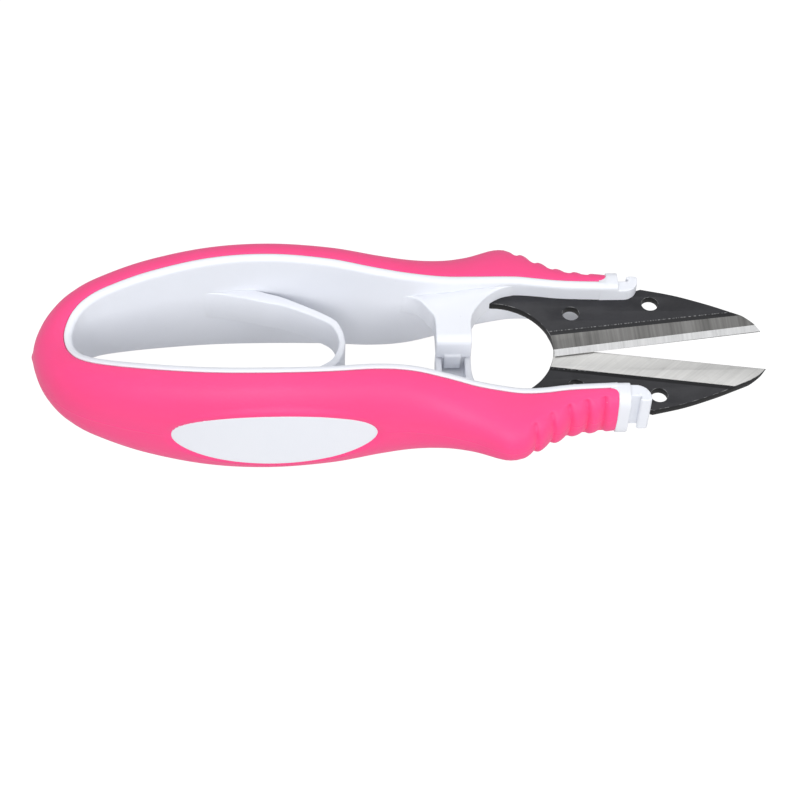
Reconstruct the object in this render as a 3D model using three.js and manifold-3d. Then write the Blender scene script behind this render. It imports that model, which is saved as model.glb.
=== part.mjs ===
// Thread snips: a one-piece sprung handle with soft grips and two crossing blades.
//
// The snips lie on their side. X runs from the rear of the loop to the blade tips, Y is the
// squeezing direction and Z runs across the width of the arms. The two halves are the same
// shape turned by half a turn about X, so the upper half (+Y) is drawn and the lower one is a
// turned copy. The loop flexes at its rear, which is where the hinge of the model sits. Shapes
// are drawn with X = 0 at the rear of the loop, and the whole is then moved to its own middle.
import * as THREE from 'three';
import { mergeVertices } from 'three/addons/utils/BufferGeometryUtils.js';
import Module from 'manifold-3d';

const wasm = await Module();
wasm.setup();

// ---- driving dimensions (millimetres) ----

// Stations along one arm, rear first: x, y, half width, outward thickness and the exponent of
// the outer superellipse. The line through (x, y) is where the soft grip meets the white rim.
const STATIONS = [
  [5.8, 0, 6.15, 5.65, 2.2],
  [6.25, 2.6, 6.4, 5.5, 2.2],
  [7.3, 4.7, 6.95, 5.4, 2.2],
  [9.1, 6.5, 7.65, 5.45, 2.25],
  [12.5, 8.2, 8.6, 5.6, 2.35],
  [20, 10.4, 10.1, 5.7, 2.5],
  [30, 12.2, 11.35, 5.7, 2.5],
  [40, 12.7, 11.75, 5.7, 2.5],
  [50, 12.1, 11.2, 5.85, 2.5],
  [58, 10.9, 10.2, 6.0, 2.5],
  [64, 10.5, 9.05, 6.15, 2.5],
  [70, 11.0, 7.45, 6.5, 2.5],
  [75, 11.85, 6.3, 7.1, 2.5],
  [80.5, 12.5, 5.52, 8.85, 2.5],
  [83.2, 12.6, 5.3, 7.95, 2.5],
  [86.2, 12.35, 5.13, 6.1, 2.5],
  [91, 11.77, 5.12, 4.3, 2.5],
  [98.4, 11.45, 5.15, 3.15, 2.5],
];
const ORIGIN_X = 62.525;       // middle of the whole length
const BEND_END = 3.4;          // station where the rear bend stops and an arm starts
const BEND_PLAY = 0.08;        // clearance at that cut, in stations
const ARM_END = STATIONS.length - 1;
const PLAY = 0.3;              // clearance between neighbouring pieces
const RIM = 1.35;              // white rim inside the grip edge
const RIM_ROUND = 0.9;
const SKIN = 1.6;              // thickness of the soft grip
const LEDGE = 1.0;             // how far the grip laps in under its own edge
const SKIN_PLAY = 0.2;
const GROOVE = { count: 5, first: 84.1, pitch: 3, depth: 0.6, before: 1.4, after: 1.0 };

const WINDOW = { x: 41, rx: 17.2, rz: 6.5, sunk: 0.3, thickness: 1.1 };
const BLADE = { bottom: 0.1, top: 1.6, hole: 1.45, bevel: 3.1, edge: 0.25 };
const BLADE_HOLES = [[92.2, 7.2], [106.15, 9.2]];
const EDGE_HEEL = new THREE.Vector2(88.9, -1.05);
const EDGE_TIP = new THREE.Vector2(125, 3.95);
const ARCH = { x: 78.2, y: -1.2, r: 10.7 };   // finger arch in front of the post
const POST = { left: 68.5, right: 74.6, end: -0.7, bottom: -0.3, top: 4.35, wall: 11.2 };
const TONGUE = { width: 2.9, end: -1.2, bottom: -2.6, shift: -0.1 };
const CHANNEL = { width: 4.0, floor: -3.4, end: 0.5, back: -8.3, top: -0.6 };
const NOSE = { start: 98.7, neck: 100.5, lip: 102.4, end: 104.1, inner: 10.0, outer: 13.5,
  floor: 12.4, half: 4.0, flange: 5.1, round: 2.4 };
// Leaf spring, half of its plan from the root on the arm to the middle of its bend.
const LEAF = {
  half: 3.4,
  outer: [[29, 10.3], [33, 10.72], [38.3, 10.85], [43.4, 9.5], [47.7, 7.5], [50.6, 5.5], [52.5, 2.9],
    [53.1, 0]],
  inner: [[29, 9.9], [33, 9.5], [37.8, 8.85], [43.4, 7.55], [47.2, 6.1], [49.8, 4.4], [51.5, 2.2],
    [52.05, 0]],
};

const WHITE = { color: 0xeceef4, roughness: 0.35, metalness: 0 };
const PINK = { color: 0xff5f96, roughness: 0.5, metalness: 0 };
const COATED = { color: 0x2c2c30, roughness: 0.45, metalness: 0.3 };

// ---- solids ----

function toManifold(geometry) {
  geometry.deleteAttribute('normal');
  geometry.deleteAttribute('uv');
  const merged = mergeVertices(geometry, 1e-5);
  const index = new Uint32Array(merged.index.array);
  const vertices = new Float32Array(merged.attributes.position.array);
  return new wasm.Manifold(new wasm.Mesh({ numProp: 3, vertProperties: vertices, triVerts: index }));
}

function toGeometry(solid) {
  const mesh = solid.getMesh();
  const geometry = new THREE.BufferGeometry();
  geometry.setAttribute('position', new THREE.BufferAttribute(mesh.vertProperties, 3));
  geometry.setIndex(new THREE.BufferAttribute(mesh.triVerts, 1));
  return geometry;
}

function named(name, geometry, finish) {
  const mesh = new THREE.Mesh(geometry, new THREE.MeshStandardMaterial(finish));
  mesh.name = name;
  return mesh;
}

// Joins a row of matching rings, each a list of Vector3, into one closed solid.
function loft(rings, section) {
  const n = rings[0].length;
  const positions = rings.flat().flatMap((p) => [p.x, p.y, p.z]);
  const faces = [];
  for (let i = 0; i + 1 < rings.length; i += 1) {
    for (let j = 0; j < n; j += 1) {
      const a = i * n + j;
      const b = i * n + ((j + 1) % n);
      faces.push(a, b, b + n, a, b + n, a + n);
    }
  }
  const last = (rings.length - 1) * n;
  for (const [a, b, c] of THREE.ShapeUtils.triangulateShape(section, [])) {
    faces.push(c, b, a, last + a, last + b, last + c);
  }
  const geometry = new THREE.BufferGeometry();
  geometry.setAttribute('position', new THREE.Float32BufferAttribute(positions, 3));
  geometry.setIndex(faces);
  return geometry;
}

// Extrudes a closed plan outline between two heights.
function plate(shape, bottom, top, curveSegments = 8) {
  const options = { depth: top - bottom, bevelEnabled: false, curveSegments };
  const geometry = new THREE.ExtrudeGeometry(shape, options);
  geometry.translate(0, 0, bottom);
  return geometry;
}

function box(x0, x1, y0, y1, z0, z1) {
  const geometry = new THREE.BoxGeometry(x1 - x0, y1 - y0, z1 - z0);
  geometry.translate((x0 + x1) / 2, (y0 + y1) / 2, (z0 + z1) / 2);
  return geometry;
}

// ---- the arm's path ----

// Catmull-Rom value between four samples.
function blendSamples(a, b, c, d, t) {
  return 0.5 * (2 * b + (c - a) * t + (2 * a - 5 * b + 4 * c - d) * t * t
    + (3 * b - a - 3 * c + d) * t * t * t);
}

// A station at any index; indices below zero lie on the lower arm.
function sample(index) {
  const at = (i) => {
    const [x, y, ...rest] = STATIONS[Math.min(Math.abs(i), ARM_END)];
    return [x, i < 0 ? -y : y, ...rest];
  };
  const i = Math.min(Math.floor(index), ARM_END - 1);
  const four = [at(i - 1), at(i), at(i + 1), at(i + 2)];
  if (i + 2 > ARM_END) four[3] = four[2].map((v, k) => 2 * v - four[1][k]);
  const [x, y, half, out, power] = four[1].map((_, k) => blendSamples(...four.map((s) => s[k]), index - i));
  return { x, y, half, out, power };
}

function frameAt(index) {
  const here = sample(index);
  const step = 0.01;
  const ahead = sample(Math.min(index + step, ARM_END));
  const behind = sample(index - step);
  const along = new THREE.Vector2(ahead.x - behind.x, ahead.y - behind.y).normalize();
  return { ...here, nx: -along.y, ny: along.x };
}

// Index of the station at a given x on the upper arm.
function indexAt(x) {
  let low = BEND_END;
  let high = ARM_END;
  for (let i = 0; i < 40; i += 1) {
    const middle = (low + high) / 2;
    if (sample(middle).x < x) low = middle;
    else high = middle;
  }
  return low;
}

// The outward drop of the grip surface at x caused by the finger grooves.
function grooveDepth(x) {
  let depth = 0;
  for (let i = 0; i < GROOVE.count; i += 1) {
    const centre = GROOVE.first + i * GROOVE.pitch;
    const reach = x < centre ? GROOVE.before : GROOVE.after;
    const away = Math.abs(x - centre) / reach;
    if (away < 1) depth = Math.max(depth, GROOVE.depth * (1 - away) ** 2);
  }
  return depth;
}

// ---- cross-sections: u points outwards, v across the width ----

function superellipse(rx, ry, u0, power, steps) {
  const points = [];
  for (let i = 0; i <= steps; i += 1) {
    const angle = Math.PI * (i / steps - 0.5);
    const c = Math.abs(Math.cos(angle)) ** (2 / power);
    const s = Math.sign(Math.sin(angle)) * Math.abs(Math.sin(angle)) ** (2 / power);
    points.push(new THREE.Vector2(u0 + rx * c, ry * s));
  }
  return points;
}

function coreSection({ half, out, power }) {
  const corner = (sign) => [0, 0.5, 1].map((k) => {
    const angle = k * Math.PI / 2;
    return new THREE.Vector2(-RIM + RIM_ROUND * (1 - Math.cos(angle)),
      sign * (half - RIM_ROUND * (1 - Math.sin(angle))));
  });
  const ledge = half - LEDGE;
  return [...corner(-1), new THREE.Vector2(-0.1, -half), ...superellipse(out - SKIN, ledge, -0.1, power, 12),
    new THREE.Vector2(-0.1, half), ...corner(1).reverse()];
}

function gripSection({ x, half, out, power }) {
  const outer = superellipse(out - grooveDepth(x), half, 0.1, power, 16);
  const inner = superellipse(out - SKIN + SKIN_PLAY, half - LEDGE + SKIN_PLAY, 0.1, power, 10).reverse();
  return [...outer, ...inner];
}

function bandSection(low, high, half) {
  return [[low, -half], [high, -half], [high, half], [low, half]].map(([u, v]) => new THREE.Vector2(u, v));
}

function sweep(indices, makeSection) {
  const sections = indices.map((index) => makeSection(frameAt(index)));
  const rings = indices.map((index, k) => {
    const f = frameAt(index);
    return sections[k].map((p) => new THREE.Vector3(f.x + f.nx * p.x, f.y + f.ny * p.x, p.y));
  });
  return loft(rings, sections[0]);
}

function spread(from, to, count) {
  return Array.from({ length: count + 1 }, (_, i) => from + (to - from) * i / count);
}

// ---- pieces of one half ----

function windowCutter(grow) {
  const shape = new THREE.Shape().absellipse(WINDOW.x, 0, WINDOW.rx + grow, WINDOW.rz + grow, 0, 2 * Math.PI);
  const geometry = new THREE.ExtrudeGeometry(shape, { depth: 12, bevelEnabled: false, curveSegments: 20 });
  geometry.rotateX(Math.PI / 2);
  geometry.translate(0, 24, 0);
  return toManifold(geometry);
}

// Room for the blade's tang inside the white parts.
function bladeSlot() {
  const shape = new THREE.Shape();
  shape.moveTo(78.0, 8.5).lineTo(105.2, 8.5).lineTo(105.2, 12.85).lineTo(103.2, 12.2);
  shape.lineTo(101.6, 11.75).lineTo(84, 12.2).lineTo(80, 11.9).lineTo(78.0, 10.7);
  return toManifold(plate(shape, BLADE.bottom - PLAY, BLADE.top + PLAY));
}

function arm() {
  const indices = [...spread(BEND_END, 12, 30), ...spread(12.25, ARM_END, 16)];
  return toGeometry(toManifold(sweep(indices, coreSection)).subtract(bladeSlot()));
}

function grip() {
  const indices = [...spread(BEND_END, 12, 30), ...spread(12.3, 13.7, 6)];
  for (let x = 84; x < 98.3; x += 0.6) indices.push(indexAt(x));
  indices.push(ARM_END);
  return toGeometry(toManifold(sweep(indices, gripSection)).subtract(windowCutter(SKIN_PLAY)));
}

function windowPad() {
  const margin = 3;
  const indices = spread(indexAt(WINDOW.x - WINDOW.rx - margin), indexAt(WINDOW.x + WINDOW.rx + margin), 20);
  const band = sweep(indices, ({ out }) => {
    const high = out - WINDOW.sunk;
    return bandSection(high - WINDOW.thickness, high, WINDOW.rz + 1);
  });
  return toGeometry(toManifold(band).intersect(windowCutter(0)));
}

function nose() {
  const { start, neck, lip, end, inner, outer, floor, round } = NOSE;
  const shape = new THREE.Shape();
  shape.moveTo(start, inner).lineTo(end - round, inner).quadraticCurveTo(end, inner, end, inner + round);
  shape.lineTo(end, outer).lineTo(lip, outer).lineTo(lip, floor).lineTo(neck, floor);
  shape.lineTo(neck, outer).lineTo(start, outer);
  const body = toManifold(plate(shape, -NOSE.half, NOSE.half, 5));
  const flange = toManifold(box(start, neck, inner, outer, -NOSE.flange, NOSE.flange));
  return toGeometry(body.add(flange).subtract(bladeSlot()));
}

// Plan outline shared by both guide posts: a stem that flares into the arm's inner face.
function postShape(end) {
  const { left, right, wall } = POST;
  const shape = new THREE.Shape();
  shape.moveTo(left, end).lineTo(right, end).lineTo(right, 5);
  shape.bezierCurveTo(right, 8.2, right + 2.4, 10, 80.5, wall - PLAY - 0.1);
  shape.lineTo(78, 10.55).lineTo(74, 9.95).lineTo(70, 9.3).lineTo(66.5, 9.0).lineTo(62, 8.95);
  shape.bezierCurveTo(66, 8.6, left, 6.5, left, 3.5);
  return shape;
}

function upperPost() {
  const stem = toManifold(plate(postShape(POST.end), POST.bottom, POST.top));
  const middle = (POST.left + POST.right) / 2 + TONGUE.shift;
  const key = toManifold(box(middle - TONGUE.width / 2, middle + TONGUE.width / 2,
    TONGUE.end, 5, TONGUE.bottom, POST.bottom + 0.5));
  return toGeometry(stem.add(key).subtract(bladeSlot()));
}

// Drawn in the turned copy's own axes, so its channel opens towards the table side here.
function lowerPost() {
  const stem = toManifold(plate(postShape(-CHANNEL.end), -CHANNEL.top, POST.top));
  const middle = (POST.left + POST.right) / 2 + TONGUE.shift;
  const channel = toManifold(box(middle - CHANNEL.width / 2, middle + CHANNEL.width / 2,
    -CHANNEL.end - 1, -CHANNEL.back, -CHANNEL.top - 1, -CHANNEL.floor));
  return toGeometry(stem.subtract(channel).subtract(bladeSlot()));
}

function blade() {
  const heel = Math.atan2(EDGE_HEEL.y - ARCH.y, EDGE_HEEL.x - ARCH.x);
  const shape = new THREE.Shape();
  shape.moveTo(EDGE_HEEL.x, EDGE_HEEL.y).lineTo(EDGE_TIP.x, EDGE_TIP.y);
  shape.lineTo(122, 6.35).lineTo(119.5, 7.5).lineTo(115.8, 9.1).lineTo(110.4, 11.05).lineTo(104.8, 12.45);
  shape.lineTo(103, 11.8).lineTo(101.5, 11.4).lineTo(84.2, 11.85).lineTo(80.2, 11.5);
  shape.quadraticCurveTo(77.8, 10.2, 78.7, 9.48);
  shape.absarc(ARCH.x, ARCH.y, ARCH.r, 1.45, heel, true);
  for (const [x, y] of BLADE_HOLES) {
    shape.holes.push(new THREE.Path().absarc(x, y, BLADE.hole, 0, 2 * Math.PI));
  }
  const body = toManifold(plate(shape, BLADE.bottom, BLADE.top, 16));
  // the ground bevel is a wedge cut off along the cutting edge
  const along = EDGE_TIP.clone().sub(EDGE_HEEL);
  const length = along.length() + 12;
  const wedge = new THREE.Shape();
  wedge.moveTo(-1, BLADE.bottom + BLADE.edge - 0.45).lineTo(BLADE.bevel, BLADE.top);
  wedge.lineTo(BLADE.bevel, BLADE.top + 2).lineTo(-1, BLADE.top + 2);
  const cut = new THREE.ExtrudeGeometry(wedge, { depth: length, bevelEnabled: false });
  const across = new THREE.Vector3(-along.y, along.x, 0).normalize();
  const forward = new THREE.Vector3(along.x, along.y, 0).normalize();
  const place = new THREE.Matrix4().makeBasis(across, new THREE.Vector3(0, 0, 1), forward);
  place.setPosition(EDGE_HEEL.x - 6 * forward.x, EDGE_HEEL.y - 6 * forward.y, 0);
  cut.applyMatrix4(place);
  return toGeometry(body.subtract(toManifold(cut)));
}

function half(side, post) {
  const group = new THREE.Group();
  group.add(
    named(`${side}_arm`, arm(), WHITE),
    named(`${side}_grip`, grip(), PINK),
    named(`${side}_window`, windowPad(), WHITE),
    named(`${side}_nose`, nose(), WHITE),
    named(`${side}_post`, post, WHITE),
    named(`${side}_blade`, blade(), COATED),
  );
  return group;
}

// ---- pieces across both halves ----

function leafSpring() {
  const side = (points) => {
    const line = [...points, ...points.slice(0, -1).reverse().map(([x, y]) => [x, -y])];
    return new THREE.SplineCurve(line.map(([x, y]) => new THREE.Vector2(x, y))).getPoints(36);
  };
  return plate(new THREE.Shape([...side(LEAF.outer), ...side(LEAF.inner).reverse()]), -LEAF.half, LEAF.half);
}

const snips = new THREE.Group();
const bend = spread(-BEND_END + BEND_PLAY, BEND_END - BEND_PLAY, 24);
snips.add(
  named('rear_bend', sweep(bend, coreSection), WHITE),
  named('rear_grip', sweep(bend, gripSection), PINK),
  named('leaf_spring', leafSpring(), WHITE),
);
const upper = half('upper', upperPost());
const lower = half('lower', lowerPost());
lower.rotation.x = Math.PI;
snips.add(upper, lower);
snips.position.x = -ORIGIN_X;

export default snips;
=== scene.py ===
"""Looks of a pair of thread snips: sprung white handle, soft grips and two coated blades.

The snips lie on their side. X runs from the rear of the loop to the tips, Y is the squeezing
direction and Z the width of the arms. Shapes are drawn in millimetres with X = 0 at the rear of
the loop, then scaled to metres and moved to the middle of the frame. The lower half is the upper
one turned by half a turn about X.
"""
import logging
import math
from collections.abc import Sequence
from dataclasses import dataclass, field
from enum import Enum

import bmesh
import bpy
import numpy as np
from mathutils import Matrix, Vector


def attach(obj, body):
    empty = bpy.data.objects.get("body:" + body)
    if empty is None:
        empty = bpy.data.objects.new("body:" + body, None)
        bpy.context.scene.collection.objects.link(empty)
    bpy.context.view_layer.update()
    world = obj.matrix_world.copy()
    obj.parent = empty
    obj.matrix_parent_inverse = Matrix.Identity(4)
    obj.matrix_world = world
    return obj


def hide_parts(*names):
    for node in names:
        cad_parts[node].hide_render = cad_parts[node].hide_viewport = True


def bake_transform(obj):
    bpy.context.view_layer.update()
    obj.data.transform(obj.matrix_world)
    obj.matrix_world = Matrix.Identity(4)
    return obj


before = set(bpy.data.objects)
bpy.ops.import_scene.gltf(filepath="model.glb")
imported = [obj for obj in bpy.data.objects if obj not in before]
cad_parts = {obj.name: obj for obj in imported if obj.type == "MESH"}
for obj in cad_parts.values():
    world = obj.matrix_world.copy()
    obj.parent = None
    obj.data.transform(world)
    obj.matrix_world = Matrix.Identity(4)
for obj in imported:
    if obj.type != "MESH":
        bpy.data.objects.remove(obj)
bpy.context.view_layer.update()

MM = 0.001
REAR = Vector((-62.525, 0, 0))  # the rear of the loop in the frame, in millimetres
LOG = logging.getLogger("snips")
Point2 = tuple[float, float]
Point3 = tuple[float, float, float]
Colour = tuple[float, float, float, float]


class Side(Enum):
    """The two halves of the snips, with the sign that turns a shape into place."""

    UPPER = 1
    LOWER = -1

    @property
    def word(self) -> str:
        """Short name used in the names of pieces."""
        return self.name.lower()

    @property
    def body(self) -> str:
        """The moving body that this half's rigid pieces ride on."""
        return f"{self.word}_half"

    @property
    def turn(self) -> Matrix:
        """Turns a shape drawn for the upper half into this half's place."""
        return Matrix.Diagonal((1, self.value, self.value, 1))


# ---------------------------------------------------------------- node trees


class Link:
    """An output socket that sums and products can be written with."""

    def __init__(self, board: "Board", socket: bpy.types.NodeSocket) -> None:
        """Keeps the socket and the board that its nodes are made on."""
        self.board = board
        self.socket = socket

    def math(self, operation: str, *values: "Link | float") -> "Link":
        """Adds one Math node.

        Args:
            operation: the node's operation, such as "ADD".
            *values: its inputs after this one.

        Returns:
            The node's result.
        """
        sockets = dict(enumerate((self, *values)))
        made = self.board.node("ShaderNodeMath", {"operation": operation}, sockets)
        return Link(self.board, made.outputs[0])

    def _from(self, operation: str, other: "Link | float") -> "Link":
        """The same with this link as the second input."""
        made = self.board.node("ShaderNodeMath", {"operation": operation}, {0: other, 1: self})
        return Link(self.board, made.outputs[0])

    def __add__(self, other: "Link | float") -> "Link":
        """Sum."""
        return self.math("ADD", other)

    __radd__ = __add__

    def __sub__(self, other: "Link | float") -> "Link":
        """Difference."""
        return self.math("SUBTRACT", other)

    def __rsub__(self, other: float) -> "Link":
        """Difference from a number."""
        return self._from("SUBTRACT", other)

    def __mul__(self, other: "Link | float") -> "Link":
        """Product."""
        return self.math("MULTIPLY", other)

    __rmul__ = __mul__

    def __truediv__(self, other: "Link | float") -> "Link":
        """Quotient."""
        return self.math("DIVIDE", other)

    def __abs__(self) -> "Link":
        """Size without its sign."""
        return self.math("ABSOLUTE")

    def __gt__(self, other: "Link | float") -> "Link":
        """1 where this is greater, else 0."""
        return self.math("GREATER_THAN", other)

    def smooth(self, low: float, high: float) -> "Link":
        """Rises softly from 0 at low to 1 at high.

        Args:
            low: value that gives 0.
            high: value that gives 1.

        Returns:
            The share between them.
        """
        settings = {"interpolation_type": "SMOOTHSTEP", "clamp": True}
        values = {0: self, 1: low, 2: high, 3: 0.0, 4: 1.0}
        made = self.board.node("ShaderNodeMapRange", settings, values)
        return Link(self.board, made.outputs[0])


class Board:
    """Makes the nodes of one tree."""

    def __init__(self, tree: bpy.types.NodeTree) -> None:
        """Keeps the tree."""
        self.tree = tree

    def node(self, kind: str, settings: dict | None = None, sockets: dict | None = None) -> bpy.types.Node:
        """Adds a node.

        Args:
            kind: the node's type.
            settings: its own settings, set first.
            sockets: values, links or sockets for its inputs, by name or number.

        Returns:
            The new node.
        """
        made = self.tree.nodes.new(kind)
        for name, value in (settings or {}).items():
            setattr(made, name, value)
        for key, value in (sockets or {}).items():
            if isinstance(value, Link):
                value = value.socket
            if isinstance(value, bpy.types.NodeSocket):
                self.tree.links.new(value, made.inputs[key])
            else:
                made.inputs[key].default_value = value
        return made

    def split(self, vector: Link | bpy.types.NodeSocket) -> tuple[Link, Link, Link]:
        """The three parts of a vector."""
        made = self.node("ShaderNodeSeparateXYZ", None, {0: vector})
        return tuple(Link(self, made.outputs[i]) for i in range(3))

    def join(self, x: Link | float, y: Link | float, z: Link | float) -> Link:
        """A vector of three parts."""
        return Link(self, self.node("ShaderNodeCombineXYZ", None, {0: x, 1: y, 2: z}).outputs[0])

    def mix(self, share: Link | float, low: Link | Colour, high: Link | Colour) -> Link:
        """Mixes two colours.

        Args:
            share: 0 gives low and 1 gives high.
            low: first colour.
            high: second colour.

        Returns:
            The mixed colour.
        """
        made = self.node("ShaderNodeMix", {"data_type": "RGBA"}, {0: share, 6: low, 7: high})
        return Link(self, made.outputs[2])


class Surface(Board):
    """A material's tree, with its place on the piece in millimetres."""

    def __init__(self, name: str) -> None:
        """Makes an empty material of that name."""
        self.material = bpy.data.materials.new(name)
        self.material.use_nodes = True
        super().__init__(self.material.node_tree)
        self.tree.nodes.clear()
        place = self.node("ShaderNodeTexCoord").outputs["Object"]
        scaled = self.node("ShaderNodeVectorMath", {"operation": "SCALE"}, {0: place, "Scale": 1 / MM})
        moved = self.node("ShaderNodeVectorMath", {"operation": "SUBTRACT"}, {0: scaled.outputs[0], 1: REAR})
        self.place = Link(self, moved.outputs[0])

    def noise(self, scale: float, detail: float = 2.0, vector: Link | None = None) -> Link:
        """Cloudy noise from 0 to 1.

        Args:
            scale: lumps per millimetre.
            detail: number of finer layers.
            vector: place to read it at, if not the place on the piece.

        Returns:
            The noise.
        """
        sockets = {"Vector": vector or self.place, "Scale": scale, "Detail": detail}
        return Link(self, self.node("ShaderNodeTexNoise", None, sockets).outputs[0])

    def specks(self, spacing: float, size: float) -> Link:
        """Sparse small specks.

        Args:
            spacing: distance between them in millimetres.
            size: radius as a share of the spacing.

        Returns:
            1 inside a speck, else 0.
        """
        sockets = {"Vector": self.place, "Scale": 1 / spacing}
        made = self.node("ShaderNodeTexVoronoi", {"feature": "F1"}, sockets)
        return 1 - Link(self, made.outputs[0]).smooth(size * 0.6, size)

    def bump(self, height: Link, depth: float) -> bpy.types.NodeSocket:
        """Turns a height into a surface normal.

        Args:
            height: height from 0 to 1.
            depth: height of 1 in millimetres.

        Returns:
            The normal.
        """
        sockets = {"Strength": 1.0, "Distance": depth * MM, "Height": height}
        return self.node("ShaderNodeBump", None, sockets).outputs[0]

    def shade(self, sockets: dict) -> bpy.types.Material:
        """Ends the tree in one shader with these inputs and returns the material."""
        shader = self.node("ShaderNodeBsdfPrincipled", None, sockets)
        self.node("ShaderNodeOutputMaterial", None, {"Surface": shader.outputs[0]})
        return self.material


# ---------------------------------------------------------------- finishes


@dataclass(frozen=True)
class MouldedWhite:
    """Satin white moulded plastic with faint flow clouds and a fine moulding grain."""

    tone: Colour = (0.80, 0.815, 0.86, 1)
    cloud: Colour = (0.765, 0.785, 0.84, 1)
    dust: Colour = (0.45, 0.46, 0.5, 1)
    gloss: float = 0.3
    grain_mm: float = 0.012

    def make(self, name: str) -> bpy.types.Material:
        """Makes the material."""
        s = Surface(name)
        cloud = s.noise(0.06, 3.0)
        grain = s.noise(5.0, 3.0)
        dust = s.specks(4.5, 0.022) * 0.25
        colour = s.mix(dust, s.mix(cloud, self.tone, self.cloud), self.dust)
        return s.shade({
            "Base Color": colour,
            "Roughness": self.gloss + cloud * 0.08 + grain * 0.08,
            "Specular IOR Level": 0.45,
            "Subsurface Weight": 0.12,
            "Subsurface Radius": (1.0, 1.0, 1.0),
            "Subsurface Scale": 0.8 * MM,
            "Normal": s.bump(grain + s.noise(0.35) * 0.8, self.grain_mm),
        })


@dataclass(frozen=True)
class SoftPink:
    """Pink soft-touch rubber: fine matt grain, slightly deeper clouds and a few pale specks."""

    tone: Colour = (0.93, 0.067, 0.262, 1)
    deep: Colour = (0.92, 0.05, 0.212, 1)
    speck: Colour = (0.95, 0.5, 0.65, 1)
    gloss: float = 0.46
    grain_mm: float = 0.02

    def make(self, name: str) -> bpy.types.Material:
        """Makes the material."""
        s = Surface(name)
        cloud = s.noise(0.05, 3.0)
        grain = s.noise(6.5, 2.0)
        wide = s.noise(0.5, 2.0)
        x, y, z = s.split(s.place)
        stretched = s.noise(0.25, 2.0, s.join(x * 0.25, y, z * 2.0))
        specks = s.specks(6.0, 0.02) * 0.55
        colour = s.mix(cloud * 0.75 + stretched * 0.25, self.tone, self.deep)
        return s.shade({
            "Base Color": s.mix(specks, colour, self.speck),
            "Roughness": self.gloss + grain * 0.1 + stretched * 0.06,
            "Specular IOR Level": 0.4,
            "Subsurface Weight": 0.1,
            "Subsurface Radius": (1.0, 0.25, 0.4),
            "Subsurface Scale": 0.9 * MM,
            "Sheen Weight": 0.12,
            "Sheen Roughness": 0.5,
            "Normal": s.bump(grain + wide * 0.5, self.grain_mm),
        })


@dataclass(frozen=True)
class BladeLine:
    """A straight line across a blade, drawn for the upper half."""

    start: Point2
    end: Point2

    @property
    def along(self) -> Vector:
        """Unit vector along the line."""
        return Vector((self.end[0] - self.start[0], self.end[1] - self.start[1], 0)).normalized()

    @property
    def across(self) -> Vector:
        """Unit vector square to the line, away from the cutting edge."""
        return Vector((-self.along.y, self.along.x, 0))

    def read(self, s: Surface, side: Side) -> tuple[Link, Link]:
        """Place along and across the line, for a material.

        Args:
            s: the material's tree.
            side: half that the blade belongs to.

        Returns:
            Distance along and across the line in millimetres.
        """
        x, y, _ = s.split(s.place)
        dx = x - self.start[0]
        dy = y * side.value - self.start[1]
        along = dx * self.along.x + dy * self.along.y
        across = dx * self.across.x + dy * self.across.y
        return along, across


CUTTING_EDGE = BladeLine((88.9, -1.05), (125.0, 3.95))
WEAR_LINE = BladeLine((87.8, 3.2), (119.5, 7.15))
LAND_END = BladeLine((87.6, 2.96), (120.0, 7.7))


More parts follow.
